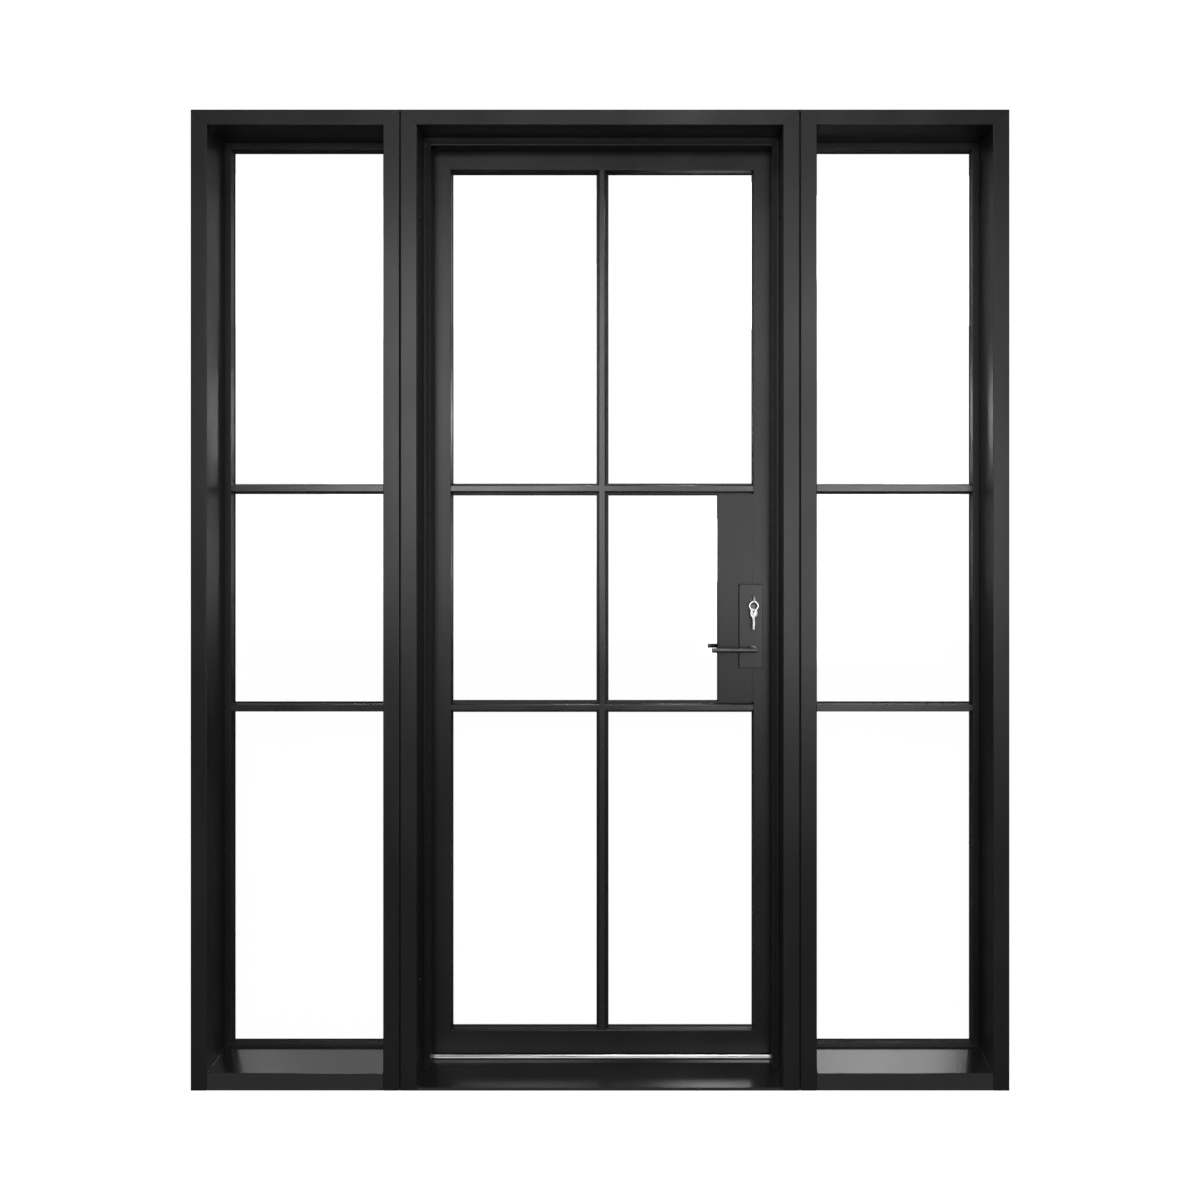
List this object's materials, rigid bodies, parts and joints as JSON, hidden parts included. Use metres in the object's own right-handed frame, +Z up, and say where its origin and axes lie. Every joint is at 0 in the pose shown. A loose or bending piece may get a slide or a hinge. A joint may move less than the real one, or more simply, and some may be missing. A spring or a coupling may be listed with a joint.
{
  "type": "steel glazed door with sidelights",
  "caption": "Black steel and glass entrance door leaf with lever and cylinder lock, between two fixed glazed sidelights in welded tube frames.",
  "frame": {"origin": "on the floor, at the middle of the unit's width and of the frame's depth, on the underside of the threshold", "axes": "+Z up, +X to the right seen from the street, +Y from the street face towards the room"},
  "size_m": [2.112, 0.2123, 2.53],
  "materials": {
    "black_steel": "satin black powder coat on welded steel tube",
    "clear_glass": "clear sealed double glazing",
    "joint_sealant": "matt black joint sealant",
    "seal_rubber": "matt black rubber bulb seal",
    "bright_strip": "brushed mill finish",
    "hinge_steel": "black painted barrel hinges",
    "lock_black": "smooth satin black on lever and long plates",
    "bright_nickel": "bright nickel plate"
  },
  "bodies": {
    "frame": {"left_sidelight_outer_jamb": "black_steel", "left_sidelight_inner_jamb": "black_steel", "left_sidelight_head": "black_steel", "left_sidelight_sill": "black_steel", "left_sidelight_front_bead": "black_steel", "left_sidelight_rear_bead": "black_steel", "left_sidelight_bars": "black_steel", "left_sidelight_glass": "clear_glass", "left_joint_strip": "joint_sealant", "right_sidelight_outer_jamb": "black_steel", "right_sidelight_inner_jamb": "black_steel", "right_sidelight_head": "black_steel", "right_sidelight_sill": "black_steel", "right_sidelight_front_bead": "black_steel", "right_sidelight_rear_bead": "black_steel", "right_sidelight_bars": "black_steel", "right_sidelight_glass": "clear_glass", "right_joint_strip": "joint_sealant", "door_frame_left_jamb": "black_steel", "door_frame_right_jamb": "black_steel", "door_frame_head": "black_steel", "door_threshold": "black_steel", "door_stop_left": "black_steel", "door_stop_right": "black_steel", "door_stop_head": "black_steel", "door_seal": "seal_rubber", "threshold_strip": "bright_strip", "strike_plate": "bright_nickel", "hinge_1_frame_barrel": "hinge_steel", "hinge_2_frame_barrel": "hinge_steel", "hinge_3_frame_barrel": "hinge_steel", "hinge_4_frame_barrel": "hinge_steel"},
    "leaf": {"leaf_hinge_stile": "black_steel", "leaf_lock_stile": "black_steel", "leaf_top_rail": "black_steel", "leaf_bottom_rail": "black_steel", "leaf_lock_box": "black_steel", "leaf_upright_bar": "black_steel", "leaf_upper_bar": "black_steel", "leaf_lower_bar": "black_steel", "leaf_glazing_lip": "black_steel", "leaf_rear_bead": "black_steel", "leaf_glass": "clear_glass", "door_sweep": "seal_rubber", "hinge_1_leaf_barrel": "hinge_steel", "hinge_2_leaf_barrel": "hinge_steel", "hinge_3_leaf_barrel": "hinge_steel", "hinge_4_leaf_barrel": "hinge_steel", "lock_plate_outside": "lock_black", "lock_plate_inside": "lock_black", "lock_forend": "bright_nickel", "lock_bolts": "bright_nickel", "lock_cylinder": "bright_nickel", "key_in_lock": "bright_nickel", "key_ring": "bright_nickel", "spare_key": "bright_nickel"},
    "lever": {"lever_outside": "lock_black", "lever_inside": "lock_black", "lever_spindle": "bright_nickel"}
  },
  "joints": [
    {"name": "leaf_swing", "type": "hinge", "parent": "frame", "child": "leaf", "pos_m": [-0.47, 0.092, 0], "axis": [0, 0, 1], "range_deg": [0, 100]},
    {"name": "lever_turn", "type": "hinge", "parent": "leaf", "child": "lever", "pos_m": [0.4055, 0, 1.13], "axis": [0, -1, 0], "range_deg": [0, 45], "stiffness_Nm_per_rad": 1.5, "springref_deg": -34.38}
  ]
}
